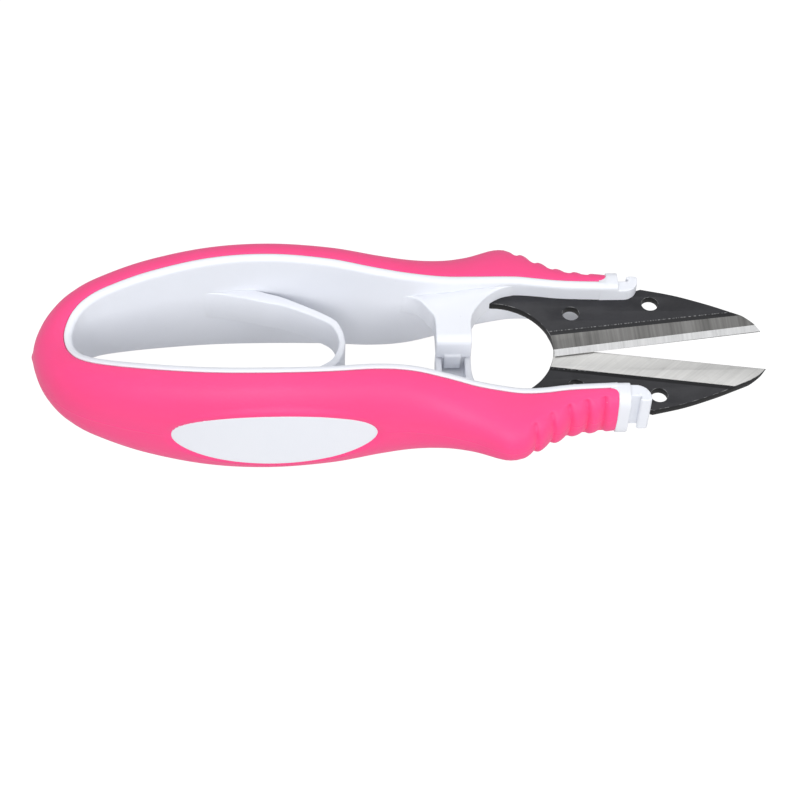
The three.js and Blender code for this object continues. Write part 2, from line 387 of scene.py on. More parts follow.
@dataclass(frozen=True)
class BlackCoat:
    """Black coating on steel, with worn corners, a rubbed line beside the grind and fine grain, plus painted
    shade in the land's step and on the side walls.
    """

    side: Side
    coat: Colour = (0.015, 0.015, 0.018, 1)
    pale: Colour = (0.023, 0.023, 0.027, 1)
    bare: Colour = (0.5, 0.5, 0.5, 1)
    relief: Colour = (0.006, 0.006, 0.007, 1)
    # painted shade: near-black colour for the band along the land's step, standing in for the shadow in that
    # recess
    step: Colour = (0.004, 0.004, 0.005, 1)
    # painted shade: darker coat colour for the side walls, which face sideways and fall into shade
    painted_side_wall_shade: Colour = (0.003, 0.003, 0.0035, 1)
    scratch: Colour = (0.2, 0.2, 0.21, 1)
    gloss: float = 0.36
    grain_mm: float = 0.012

    def make(self, name: str) -> bpy.types.Material:
        """Makes the material."""
        s = Surface(name)
        facing = self._height_of_normal(s)
        along, across = WEAR_LINE.read(s, self.side)
        grain = s.noise(9.0, 3.0)
        cloud = s.noise(0.3, 4.0)
        flat = facing.smooth(0.8, 0.95)
        corner = facing.smooth(0.3, 0.5) * (1 - facing.smooth(0.93, 0.985))
        rubbed = s.noise(1.1, 3.0).smooth(0.42, 0.62)
        dots = s.noise(1.0, 2.0, s.join(along * 2.2, across * 0.4, 0.0)).smooth(0.45, 0.6)
        line = (1 - abs(across).smooth(0.05, 0.13)) * dots * (along > 0.3) * flat
        scratch = s.noise(0.35, 3.0, s.join(along * 0.4, across * 5.0, 0.0)).smooth(0.68, 0.74)
        # painted shade mask: a band along the step between the land and the recessed coat on the flat side;
        # it also roughens the coat there
        _, from_land = LAND_END.read(s, self.side)
        step = (1 - abs(from_land - 0.3).smooth(0.25, 0.5)) * self._flat_side(s)
        wear = (corner * rubbed * (1 - step) * 0.5).math("MAXIMUM", line * 0.42)
        relief = (1 - across.smooth(-0.12, 0.02)) * (1 - self._flat_side(s)) * flat
        base = s.mix(cloud.smooth(0.3, 0.7), self.coat, self.pale)
        base = s.mix(relief * 0.8, base, self.relief)
        # paint shade into the step band
        base = s.mix(step * 0.85, base, self.step)
        # paint shade onto faces that point sideways, such as the hole walls and the blade's sides
        base = s.mix(1 - facing.smooth(0.1, 0.4), base, self.painted_side_wall_shade)
        base = s.mix(scratch * 0.12, base, self.scratch)
        return s.shade({
            "Base Color": s.mix(wear, base, self.bare),
            "Metallic": wear * 0.8,
            "Roughness": self.gloss + grain * 0.14 + cloud * 0.06 + step * 0.3,
            "Specular IOR Level": 0.4,
            "Normal": s.bump(grain + cloud * 0.6, self.grain_mm),
        })

    @staticmethod
    def _height_of_normal(s: Surface) -> Link:
        """How squarely the face looks up or down, from 0 to 1."""
        normal = s.node("ShaderNodeNewGeometry").outputs["True Normal"]
        return abs(s.split(normal)[2])

    def _flat_side(self, s: Surface) -> Link:
        """1 on the side that meets the other blade."""
        _, _, z = s.split(s.place)
        return 1 - (z * self.side.value).smooth(0.4, 0.7)


@dataclass(frozen=True)
class GroundSteel:
    """Bare steel with grinding lines that cross the edge at an angle."""

    side: Side
    dark: Colour
    light: Colour
    lines_per_mm: float
    slant: float
    contrast: float
    gloss: float
    stain: Colour = (0.16, 0.15, 0.14, 1)
    lines_mm: float = 0.012

    def make(self, name: str) -> bpy.types.Material:
        """Makes the material."""
        s = Surface(name)
        along, across = CUTTING_EDGE.read(s, self.side)
        tilted = along + across * self.slant
        fine = s.noise(self.lines_per_mm, 3.0, s.join(tilted, across * 0.04, 0.0))
        bands = s.noise(self.lines_per_mm * 0.22, 2.0, s.join(tilted, across * 0.03, 4.0))
        stains = s.noise(0.5, 4.0).smooth(0.55, 0.75) * 0.12
        share = (fine - 0.5) * self.contrast + (bands - 0.5) * self.contrast + 0.5
        colour = s.mix(share.math("MAXIMUM", 0.0).math("MINIMUM", 1.0), self.dark, self.light)
        colour = s.mix(stains + s.specks(1.7, 0.05) * 0.35, colour, self.stain)
        return s.shade({
            "Base Color": colour,
            "Metallic": 0.9,
            "Roughness": self.gloss + fine * 0.14,
            "Normal": s.bump(fine + bands, self.lines_mm),
        })


# ---------------------------------------------------------------- shape tools


def catmull(points: Sequence[Sequence[float]], steps: int) -> list[tuple[float, ...]]:
    """A smooth line through points.

    Args:
        points: the points to pass through.
        steps: pieces between two of them.

    Returns:
        The points of the smooth line.
    """
    p = np.array(points, float)
    p = np.vstack((2 * p[0] - p[1], p, 2 * p[-1] - p[-2]))
    made = []
    for i in range(1, len(p) - 2):
        for t in np.arange(steps) / steps:
            made.append(tuple(spline_value(p[i - 1:i + 3], t)))
    made.append(tuple(p[-2]))
    return made


def spline_value(four: np.ndarray, t: float) -> np.ndarray:
    """Value between the second and third of four samples, t of the way."""
    a, b, c, d = four
    return 0.5 * (2 * b + (c - a) * t + (2 * a - 5 * b + 4 * c - d) * t ** 2
                  + (3 * b - a - 3 * c + d) * t ** 3)


def new_object(name: str, mesh: bpy.types.Mesh) -> bpy.types.Object:
    """Links a new object that shows a mesh."""
    made = bpy.data.objects.new(name, mesh)
    bpy.context.scene.collection.objects.link(made)
    return made


def loft(name: str, rings: Sequence[Sequence[Sequence[float]]]) -> bpy.types.Object:
    """Joins matching rings into one closed skin.

    Args:
        name: the object's name.
        rings: rows of points, all of one length.

    Returns:
        The new object, in millimetres.
    """
    n = len(rings[0])
    faces = [tuple(range(n)), tuple(range((len(rings) - 1) * n, len(rings) * n))]
    for i in range(len(rings) - 1):
        for j in range(n):
            a, b = i * n + j, i * n + (j + 1) % n
            faces.append((a, b, b + n, a + n))
    mesh = bpy.data.meshes.new(name)
    mesh.from_pydata([tuple(p) for ring in rings for p in ring], [], faces)
    return face_outwards(new_object(name, mesh))


def face_outwards(piece: bpy.types.Object, merge: float = 0.0) -> bpy.types.Object:
    """Merges doubles if asked and turns every face outwards."""
    bm = bmesh.new()
    bm.from_mesh(piece.data)
    if merge:
        bmesh.ops.remove_doubles(bm, verts=bm.verts, dist=merge)
    bmesh.ops.recalc_face_normals(bm, faces=bm.faces)
    bm.to_mesh(piece.data)
    bm.free()
    return piece


def prism(outline: Sequence[Point2], low: float, high: float) -> bpy.types.Object:
    """A plan outline raised between two heights."""
    return loft("prism", [[(x, y, z) for x, y in outline] for z in (low, high)])


def block(low: Sequence[float], high: Sequence[float]) -> bpy.types.Object:
    """A box between two corners."""
    outline = [(low[0], low[1]), (high[0], low[1]), (high[0], high[1]), (low[0], high[1])]
    return prism(outline, low[2], high[2])


def settle(piece: bpy.types.Object) -> bpy.types.Object:
    """Turns a piece with modifiers, or a curve, into a plain mesh object."""
    graph = bpy.context.evaluated_depsgraph_get()
    mesh = bpy.data.meshes.new_from_object(piece.evaluated_get(graph))
    name = piece.name
    bpy.data.objects.remove(piece)
    mesh.name = name
    return new_object(name, mesh)


def bisect(bm: bmesh.types.BMesh, point: Vector, normal: Vector, cut: bool) -> None:
    """Cuts a mesh with a plane.

    Args:
        bm: the mesh.
        point: a point of the plane.
        normal: the plane's direction.
        cut: whether what lies in front of the plane is taken away and the cut closed.
    """
    everything = [*bm.verts, *bm.edges, *bm.faces]
    made = bmesh.ops.bisect_plane(
        bm, geom=everything, plane_co=point, plane_no=normal, clear_outer=cut, dist=1e-5)
    if cut:
        edges = [e for e in made["geom_cut"] if isinstance(e, bmesh.types.BMEdge)]
        bmesh.ops.contextual_create(bm, geom=edges)


def mould(name: str, solids: Sequence[bpy.types.Object], cuts: Sequence[bpy.types.Object],
          voxel: float, rounds: int) -> bpy.types.Object:
    """Melts solids into one moulded shape with soft corners.

    Args:
        name: the new piece's name.
        solids: closed shapes that join.
        cuts: closed shapes that are taken away.
        voxel: size of the new skin's faces in millimetres.
        rounds: smoothing passes, which set how soft the corners are.

    Returns:
        The moulded piece, in millimetres.
    """
    bm = bmesh.new()
    for solid in solids:
        bm.from_mesh(solid.data)
        bpy.data.objects.remove(solid)
    mesh = bpy.data.meshes.new(name)
    bm.to_mesh(mesh)
    bm.free()
    piece = new_object(name, mesh)
    remesh = piece.modifiers.new("melt", "REMESH")
    remesh.mode = "VOXEL"
    remesh.voxel_size = voxel
    for cutter in cuts:
        taken = piece.modifiers.new("cut", "BOOLEAN")
        taken.object = cutter
        taken.solver = "EXACT"
    if cuts:
        again = piece.modifiers.new("melt again", "REMESH")
        again.mode = "VOXEL"
        again.voxel_size = voxel
    soften = piece.modifiers.new("soften", "SMOOTH")
    soften.factor = 0.5
    soften.iterations = rounds
    bpy.context.view_layer.update()
    piece = settle(piece)
    for cutter in cuts:
        bpy.data.objects.remove(cutter)
    return piece


def place_piece(piece: bpy.types.Object, side: Side | None, materials: Sequence[bpy.types.Material],
                sharp_deg: float = 35.0) -> bpy.types.Object:
    """Scales a piece to metres, turns it into its half and dresses it.

    Args:
        piece: the piece in millimetres, drawn for the upper half.
        side: half to turn it into, or None for a piece that spans both.
        materials: its materials, in slot order.
        sharp_deg: corners sharper than this stay crisp.

    Returns:
        The same piece.
    """
    turn = side.turn if side else Matrix.Identity(4)
    piece.data.transform(Matrix.Scale(MM, 4) @ Matrix.Translation(REAR) @ turn)
    slots = [p.material_index for p in piece.data.polygons]
    piece.data.materials.clear()
    for material in materials:
        piece.data.materials.append(material)
    piece.data.polygons.foreach_set("material_index", [min(i, len(materials) - 1) for i in slots])
    piece.data.shade_smooth()
    piece.data.set_sharp_from_angle(angle=math.radians(sharp_deg))
    piece.data.update()
    LOG.info("%s: %d faces", piece.name, len(piece.data.polygons))
    return piece


def bend(piece: bpy.types.Object) -> None:
    """Bakes a piece's place into its mesh.

    Args:
        piece: the finished piece.
    """
    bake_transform(piece)


# ---------------------------------------------------------------- the loop of the handle


@dataclass(frozen=True)
class Cross:
    """The arm's cross-section at one place: middle line, width, thickness and direction."""

    x: float
    y: float
    half: float
    out: float
    power: float
    nx: float
    ny: float

    def point(self, u: float, v: float) -> tuple[float, float, float]:
        """The place u outwards from the seam line and v across the width."""
        return self.x + self.nx * u, self.y + self.ny * u, v

    def skin(self, share: float) -> float:
        """Outward height of the grip at a share of the half width."""
        return self.out * max(0.0, 1 - abs(share) ** self.power) ** (1 / self.power)


@dataclass(frozen=True)
class LoopPath:
    """The line of the handle from the lower nose round the rear to the upper one."""

    # x, y, half width, outward thickness and exponent of the outer superellipse
    stations: tuple[tuple[float, ...], ...] = (
        (5.8, 0, 6.15, 5.65, 2.2), (6.25, 2.6, 6.4, 5.5, 2.2), (7.3, 4.7, 6.95, 5.4, 2.2),
        (9.1, 6.5, 7.65, 5.45, 2.25), (12.5, 8.2, 8.6, 5.6, 2.35), (20, 10.4, 10.1, 5.7, 2.5),
        (30, 12.2, 11.35, 5.7, 2.5), (40, 12.7, 11.75, 5.7, 2.5), (50, 12.1, 11.2, 5.85, 2.5),
        (58, 10.9, 10.2, 6.0, 2.5), (64, 10.5, 9.05, 6.15, 2.5), (70, 11.0, 7.45, 6.5, 2.5),
        (75, 11.85, 6.3, 7.1, 2.5), (80.5, 12.5, 5.52, 8.85, 2.5), (83.2, 12.6, 5.3, 7.95, 2.5),
        (86.2, 12.35, 5.13, 6.1, 2.5), (91, 11.77, 5.12, 4.3, 2.5), (98.4, 11.45, 5.15, 3.15, 2.5),
    )
    rear_end: int = 3

    def _station(self, i: int) -> np.ndarray:
        """Station i, mirrored to the lower arm below zero and stretched past the end."""
        last = len(self.stations) - 1
        if abs(i) > last:
            end, before = (self._station(int(math.copysign(n, i))) for n in (last, last - 1))
            return 2 * end - before
        x, y, *rest = self.stations[abs(i)]
        return np.array([x, math.copysign(y, i) if i else 0.0, *rest])

    def sample(self, index: float) -> np.ndarray:
        """The station values at any index."""
        i = min(math.floor(index), len(self.stations) - 2)
        return spline_value(np.array([self._station(i + k) for k in (-1, 0, 1, 2)]), index - i)

    def cross(self, index: float) -> Cross:
        """The cross-section at any index."""
        step = 0.01
        ahead, behind = self.sample(index + step), self.sample(index - step)
        along = (ahead - behind)[:2]
        along = along / np.linalg.norm(along)
        return Cross(*self.sample(index), -along[1], along[0])

    def index_at(self, x: float) -> float:
        """Index on the upper arm at a given x."""
        low, high = float(self.rear_end), float(len(self.stations) - 1)
        for _ in range(30):
            middle = (low + high) / 2
            if self.sample(middle)[0] < x:
                low = middle
            else:
                high = middle
        return high

    def cross_under(self, x: float, sunk: float) -> Cross:
        """The cross-section whose crest, less a depth, stands at a given x on the upper arm."""
        cross = self.cross(self.index_at(x))
        for _ in range(4):
            cross = self.cross(self.index_at(x - cross.nx * (cross.out - sunk)))
        return cross

    def rings(self, upper_x: Sequence[float], rear_steps: int) -> list[Cross]:
        """Cross-sections from the lower nose round the rear to the upper one.

        Args:
            upper_x: places along one arm, rear first.
            rear_steps: number of steps round the rear.

        Returns:
            The cross-sections in order.
        """
        arm = [self.index_at(x) for x in upper_x]
        start = arm[0]
        rear = list(np.linspace(-start, start, rear_steps + 1))
        return [self.cross(i) for i in [*(-a for a in reversed(arm[1:])), *rear, *arm[1:]]]


def spaced(spans: Sequence[tuple[float, float, float]]) -> list[float]:
    """Places along several spans, each given as start, end and spacing."""
    made = []
    for start, end, gap in spans:
        count = max(1, round((end - start) / gap))
        made.extend(start + (end - start) * i / count for i in range(count))
    made.append(spans[-1][1])
    return made


@dataclass(frozen=True)
class OvalWindow:
    """The white oval that shows through each grip."""

    x: float = 41.0
    rx: float = 17.2
    rz: float = 6.6
    sunk: float = 0.3
    lip: float = 1.7
    ridge: float = 0.13
    ridge_place: float = 0.75
    ridge_width: float = 0.4
    gap: float = 0.07
    bed: float = 0.5
    edge: float = 0.12
    thickness: float = 1.2
    spokes: int = 128

    def outside(self, x: float, z: float) -> float:
        """Rough distance outside the oval's edge in millimetres, negative inside."""
        a, b = (x - self.x) / self.rx, z / self.rz
        reach = math.hypot(a, b)
        if reach < 1e-6:
            return -self.rz
        slope = math.hypot(a / self.rx, b / self.rz) / reach
        return (reach - 1) / max(slope, 1e-6)

    def build(self, side: Side, path: LoopPath, white: bpy.types.Material) -> bpy.types.Object:
        """Makes one oval pad, following the arm.

        Args:
            side: its half.
            path: the line of the handle.
            white: its material.

        Returns:
            The pad.
        """
        rows = [(s, 0.0) for s in np.linspace(0.06, 1.0, 14)[:-1]]
        soft = np.linspace(0, math.pi / 2, 5)
        rows += [(1 - self.edge * (1 - math.sin(a)) / self.rz, self.edge * (1 - math.cos(a))) for a in soft]
        rows += [(1.0, self.thickness), (0.06, self.thickness)]
        rings = []
        for scale, drop in rows:
            ring = []
            for k in range(self.spokes):
                angle = 2 * math.pi * k / self.spokes
                cross = path.cross_under(self.x + self.rx * scale * math.cos(angle), self.sunk)
                ring.append(cross.point(cross.out - self.sunk - drop, self.rz * scale * math.sin(angle)))
            rings.append(ring)
        piece = place_piece(loft(f"{side.word}_window_pad", rings), side, [white])
        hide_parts(f"{side.word}_window")
        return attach(piece, side.body)


@dataclass(frozen=True)
class FingerRibs:
    """Finger grooves pressed across the front of each grip."""

    first: float = 84.1
    pitch: float = 3.0
    count: int = 5
    depth: float = 0.85
    before: float = 1.8
    after: float = 1.1
    bow: float = 0.5
    bow_reach: float = 4.2
    upper_shift: float = 1.0
    fade: tuple[float, float] = (47.0, 66.0)

    def share(self, cross: Cross, share: float) -> float:
        """How strongly the grooves cut at a place across the width.

        Args:
            cross: the arm's section there.
            share: place as a share of the half width.

        Returns:
            1 on the outer face, falling to 0 towards the rim.
        """
        w = min(abs(share), 0.9999)
        c = max(1e-6, 1 - w ** cross.power) ** ((cross.power - 1) / cross.power)
        lean = math.degrees(math.atan2(w ** (cross.power - 1) / cross.half, c / cross.out))
        t = min(1.0, max(0.0, (self.fade[1] - lean) / (self.fade[1] - self.fade[0])))
        return t * t * (3 - 2 * t)

    def press(self, piece: bpy.types.Object) -> bpy.types.Object:
        """Presses the grooves into a grip that carries "outward" and "rib_share" values.

        Args:
            piece: the grip in millimetres.

        Returns:
            The grip as a plain mesh.
        """
        tree = bpy.data.node_groups.new("finger_ribs", "GeometryNodeTree")
        face = tree.interface
        face.new_socket("Geometry", in_out="INPUT", socket_type="NodeSocketGeometry")
        sizes = {"First": self.first, "Pitch": self.pitch, "Count": float(self.count),
                 "Depth": self.depth, "Before": self.before, "After": self.after, "Bow": self.bow,
                 "Bow Reach": self.bow_reach, "Shift": self.upper_shift}
        ids = {n: face.new_socket(n, in_out="INPUT", socket_type="NodeSocketFloat").identifier for n in sizes}
        face.new_socket("Material", in_out="INPUT", socket_type="NodeSocketMaterial")
        face.new_socket("Geometry", in_out="OUTPUT", socket_type="NodeSocketGeometry")
        board = Board(tree)
        given = board.node("NodeGroupInput").outputs
        size = {name: Link(board, given[name]) for name in sizes}
        x, y, z = board.split(board.node("GeometryNodeInputPosition").outputs[0])
        height = (abs(z) / size["Bow Reach"]).math("MINIMUM", 1.3)
        last = size["First"] + size["Pitch"] * (size["Count"] - 1.0)
        ease = ((last - x) / size["Pitch"]).math("MAXIMUM", 0.0).math("MINIMUM", 1.0)
        x = x - size["Bow"] * (1 - height * height) * ease + (y > 0.0) * size["Shift"]
        step = ((x - size["First"] + size["Before"]) / size["Pitch"]).math("FLOOR")
        step = step.math("MAXIMUM", 0.0).math("MINIMUM", size["Count"] - 1.0)
        away = x - size["First"] - step * size["Pitch"]
        reach = size["Before"] + (away > 0.0) * (size["After"] - size["Before"])
        near = (1 - abs(away) / reach).math("MAXIMUM", 0.0)
        share = Link(board, board.node(
            "GeometryNodeInputNamedAttribute", {"data_type": "FLOAT"}, {"Name": "rib_share"}).outputs[0])
        outward = board.node(
            "GeometryNodeInputNamedAttribute", {"data_type": "FLOAT_VECTOR"}, {"Name": "outward"}).outputs[0]
        offset = board.node("ShaderNodeVectorMath", {"operation": "SCALE"},
                            {0: outward, "Scale": near * near * share * size["Depth"] * -1.0}).outputs[0]
        moved = board.node("GeometryNodeSetPosition", None, {"Geometry": given["Geometry"], "Offset": offset})
        whole = board.node("GeometryNodeRealizeInstances", None, {"Geometry": moved.outputs[0]})
        dressed = board.node("GeometryNodeSetMaterial", None,
                             {"Geometry": whole.outputs[0], "Material": given["Material"]})
        board.node("NodeGroupOutput", None, {0: dressed.outputs[0]})
        modifier = piece.modifiers.new("finger_ribs", "NODES")
        modifier.node_group = tree
        for name, value in sizes.items():
            modifier[ids[name]] = value
        return settle(piece)


@dataclass
class Handle:
    """The sprung loop: white core, soft grip over it, oval windows and the leaf spring."""

    white: bpy.types.Material
    pink: bpy.types.Material
    path: LoopPath = field(default_factory=LoopPath)
    window: OvalWindow = field(default_factory=OvalWindow)
    ribs: FingerRibs = field(default_factory=FingerRibs)
    rim: float = 1.35
    rim_round: float = 0.85
    crease: float = 0.18
    skin: float = 1.6
    ledge: float = 1.0
    hollow: float = 0.12
    grip_end: float = 98.45
    corner: float = 1.3
    end_round: float = 0.3
    seam_height: float = 0.05
    seam_width: float = 0.1
    nub_height: float = 0.26
    nub_size: tuple[float, float] = (0.5, 0.6)
    flex_x: float = 8.0
    flex_y: float = 7.0
    leaf_flex_y: float = 10.0
    leaf_half: float = 3.4
    leaf_round: float = 0.28
    leaf_outer: tuple[Point2, ...] = (
        (24.0, 11.3), (26.0, 11.5), (28.0, 11.8), (29.0, 11.9), (30.0, 12.0), (32.0, 12.12), (34.0, 12.2),
        (36.0, 12.14), (39.6, 10.95), (43.4, 9.5), (50.6, 5.5), (52.5, 2.9), (53.1, 0.0))
    leaf_inner: tuple[Point2, ...] = (
        (24.0, 10.9), (26.0, 10.75), (28.0, 10.76), (29.0, 10.83), (30.0, 10.85), (32.0, 10.62),
        (34.0, 10.22), (36.0, 9.75), (39.0, 8.9), (43.4, 7.65), (49.8, 4.4), (51.5, 2.2), (52.05, 0.0))

    def build(self) -> None:
        """Makes every piece of the handle."""
        core = self._core()
        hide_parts("rear_bend", "lower_arm", "upper_arm")
        grip = self._grip()
        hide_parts("rear_grip", "lower_grip", "upper_grip")
        for piece in (core, grip):
            bend(piece)
        leaf = self._leaf()
        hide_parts("leaf_spring")
        bend(leaf)
        for side in Side:
            self.window.build(side, self.path, self.white)

    def _core_section(self, cross: Cross) -> list[tuple[float, float, float]]:
        """The white core's ring: hollow inner face, rounded rim, crease and hidden back."""
        half, rim, r, c = cross.half, self.rim, self.rim_round, self.crease
        wall = []
        for t in np.linspace(-1, 1, 15):
            wall.append((-rim + self.hollow * (1 - t * t), t * (half - r)))
        side = [(-rim + r * (1 - math.cos(a)), half - r * (1 - math.sin(a)))
                for a in np.linspace(0.15, math.pi / 2, 7)]
        side += [(-c, half), (-c * 0.4, half - c * 0.25), (-0.01, half - c * 0.8), (0.0, half - 2 * c)]
        covered = cross.x < self.grip_end - self.corner
        depth = self.skin if covered else 0.06
        width = half - (self.ledge if covered else 0.04)
        back = []
        for t in np.linspace(-math.pi / 2, math.pi / 2, 25):
            share = math.copysign(abs(math.sin(t)) ** 0.8, t)
            u = (cross.out - depth) * max(0.0, 1 - abs(share) ** cross.power) ** (1 / cross.power)
            back.append((u, width * share))
        ring = [*wall, *side, *reversed(back), *[(u, -v) for u, v in reversed(side)]]
        return [cross.point(u, v) for u, v in ring]

    def _core(self) -> bpy.types.Object:
        """The white core, one skin from nose to nose."""
        end, turn = self.grip_end, self.grip_end - self.corner
        x = spaced([(9.1, 76, 0.8), (76, turn - 0.01, 0.5), (turn - 0.01, turn + 0.01, 0.02),
                    (turn + 0.01, end + 0.1, 0.3)])
        rings = [self._core_section(cross) for cross in self.path.rings(x, 56)]
        return place_piece(loft("handle_core", rings), None, [self.white], 50)

    def _grip_height(self, cross: Cross, share: float) -> float:
        """Outward height of the grip, with its window lip, parting seam and rear nub."""
        u, z = cross.skin(share), cross.half * share
        outside = self.window.outside(cross.x + cross.nx * (cross.out - self.window.sunk), z)
        if outside < self.window.lip:
            w = self.window
            flat = cross.out - w.sunk - (w.gap if outside > -w.bed else w.bed)
            t = 1 - max(0.0, outside) / w.lip
            u += (flat - u) * t * t * (3 - 2 * t)
            u += w.ridge * math.exp(-((outside - w.ridge_place) / w.ridge_width) ** 2)
        u += self.seam_height * math.exp(-(z / self.seam_width) ** 2) * (outside > self.window.lip)
        if cross.x < self.flex_x:
            wide, high = self.nub_size
            u += self.nub_height * math.exp(-(cross.y / wide) ** 2 - (z / high) ** 2)
        return u

    def _grip_ring(self, cross: Cross, shares: Sequence[float]) -> tuple[list, list]:
        """One ring of the grip and how strongly each point takes the finger ribs."""
        past = max(0.0, cross.x - (self.grip_end - self.corner)) / self.corner
        seam = 0.06 + self.corner * (1 - math.sqrt(max(0.0, 1 - past ** 2)))
        last = max(0.0, cross.x - (self.grip_end - self.end_round)) / self.end_round
        inset = self.end_round * (1 - math.sqrt(max(0.0, 1 - last ** 2)))
        points, strengths = [], []
        for share in shares:
            u = max(self._grip_height(cross, share), seam) - inset
            v = cross.half * share
            near_seam = max(0.0, 1 - (u - seam) / 0.3)
            v -= math.copysign(0.3 * (1 - math.sqrt(max(0.0, 1 - near_seam ** 2))), share) * (share != 0)
            points.append((u, v))
            strengths.append(self.ribs.share(cross, share))
        width = cross.half - self.ledge
        for t in np.linspace(math.pi / 2, -math.pi / 2, 17):
            share = math.copysign(abs(math.sin(t)) ** 0.8, t)
            under = (cross.out - self.skin) * max(0.0, 1 - abs(share) ** cross.power) ** (1 / cross.power)
            points.append((under + 0.03, width * share))
            strengths.append(0.0)
        return [cross.point(u, v) for u, v in points], strengths

    def _grip(self) -> bpy.types.Object:
        """The soft grip over the whole loop."""
        near = [0.0, 0.008, 0.018, 0.04, 0.08, 0.14]
        far = [math.sin(t) ** 0.8 for t in np.linspace(0.142, math.pi / 2 - 0.05, 32)]
        rim = [(1 - d ** 2.2) ** 0.4 for d in (0.055, 0.035, 0.018, 0.006)] + [1.0]
        half = [*near, *far, *rim]
        shares = [*(-w for w in reversed(half[1:])), *half]
        end = self.grip_end
        x = spaced([(9.1, 22, 0.8), (22, 60, 0.5), (60, 82.4, 0.7), (82.4, 97.0, 0.16), (97.0, end, 0.1)])
        sections = self.path.rings(x, 60)
        rings, strengths, outward = [], [], []
        for cross in sections:
            ring, share = self._grip_ring(cross, shares)
            rings.append(ring)
            strengths.extend(share)
            outward.extend((cross.nx, cross.ny, 0.0) * len(ring))
        piece = loft("soft_grip", rings)
        strength = piece.data.attributes.new("rib_share", "FLOAT", "POINT")
        strength.data.foreach_set("value", strengths)
        vector = piece.data.attributes.new("outward", "FLOAT_VECTOR", "POINT")
        vector.data.foreach_set("vector", outward)
        piece = self.ribs.press(piece)
        for name in ("rib_share", "outward"):
            piece.data.attributes.remove(piece.data.attributes[name])
        return place_piece(piece, None, [self.pink], 60)

    def _leaf(self) -> bpy.types.Object:
        """The leaf spring bent between the arms."""
        outer = catmull(self.leaf_outer, 10)
        inner = catmull(self.leaf_inner, 10)
        pairs = list(zip(outer, inner))
        pairs += [((o[0], -o[1]), (i[0], -i[1])) for o, i in reversed(pairs[:-1])]
        rings = []
        for (ox, oy), (ix, iy) in pairs:
            thick = math.hypot(ox - ix, oy - iy)
            r = min(self.leaf_round, thick * 0.45)
            ring = []
            for k, (cu, cv) in enumerate(((thick, 1), (0, 1), (0, -1), (thick, -1))):
                for a in np.linspace(0, math.pi / 2, 5):
                    angle = a + k * math.pi / 2
                    u = abs(cu - r) + r * math.cos(angle)
                    v = cv * (self.leaf_half - r) + r * math.sin(angle)
                    ring.append((ix + (ox - ix) * u / thick, iy + (oy - iy) * u / thick, v))
            rings.append(ring)
        return place_piece(loft("leaf_strip", rings), None, [self.white], 50)


# ---------------------------------------------------------------- guide posts and noses


@dataclass
class GuidePosts:
    """The two posts that keep the arms in line: a tongue on the upper, a channel on the lower."""

    white: bpy.types.Material
    left: float = 68.5
    right: float = 74.6
    top: float = 4.35
    upper_end: float = -0.7
    upper_bottom: float = -0.38
    lower_end: float = -0.5
    lower_bottom: float = 0.62
    tongue: tuple[float, float] = (69.95, 72.85)
    tongue_end: float = -1.15
    tongue_depth: float = -2.9
    channel: tuple[float, float] = (69.55, 73.5)
    channel_back: float = 8.3
    channel_floor: float = 3.4
    sill: tuple[Point3, Point3] = ((69.2, -2.1, 3.4), (73.9, 0.0, 4.3))
    brow: float = 1.5
    brow_leans: tuple[float, ...] = (0.3, 0.7, 1.1)
    voxel: float = 0.15
    rounds: int = 9
    left_flare: tuple[Point2, ...] = ((60.5, 9.9), (62.8, 9.3), (64.7, 8.9), (66.2, 7.9), (67.5, 6.1),
                                      (68.3, 4.8), (68.5, 3.2))
    right_flare: tuple[Point2, ...] = ((74.6, 3.2), (74.9, 4.9), (75.4, 6.0), (76.0, 7.05), (76.9, 8.2),
                                       (78.2, 9.5), (80.4, 10.85), (83.0, 11.4))

    def build(self) -> None:
        """Makes both posts."""
        for side in Side:
            piece = self._post(side)
            place_piece(piece, side, [self.white], 60)
            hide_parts(f"{side.word}_post")
            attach(piece, side.body)

    def _stem(self, end: float, bottom: float) -> bpy.types.Object:
        """A stem that flares into the wall, with its top front corner taken off."""
        outline = [*catmull(self.left_flare, 6), (self.left, end), (self.right, end),
                   *catmull(self.right_flare, 6), (76.0, 11.6), (68.0, 10.4)]
        piece = prism(outline, bottom, self.top)
        bm = bmesh.new()
        bm.from_mesh(piece.data)
        centre = Vector((0, end + self.brow, self.top - self.brow))
        for lean in self.brow_leans:
            normal = Vector((0, -math.sin(lean), math.cos(lean)))
            bisect(bm, centre + normal * self.brow, normal, True)
        bmesh.ops.recalc_face_normals(bm, faces=bm.faces)
        bm.to_mesh(piece.data)
        bm.free()
        return piece

    def _post(self, side: Side) -> bpy.types.Object:
        """One post, drawn for the upper half."""
        name = f"{side.word}_guide_post"
        if side is Side.UPPER:
            tongue = block((self.tongue[0], self.tongue_end, self.tongue_depth), (self.tongue[1], 5.0, 0.5))
            stem = self._stem(self.upper_end, self.upper_bottom)
            return mould(name, [stem, tongue], [], self.voxel, self.rounds)
        channel = block((self.channel[0], self.lower_end - 1, self.lower_bottom - 1),
                        (self.channel[1], self.channel_back, self.channel_floor))
        stem = self._stem(self.lower_end, self.lower_bottom)
        return mould(name, [stem, block(*self.sill)], [channel], self.voxel, self.rounds)


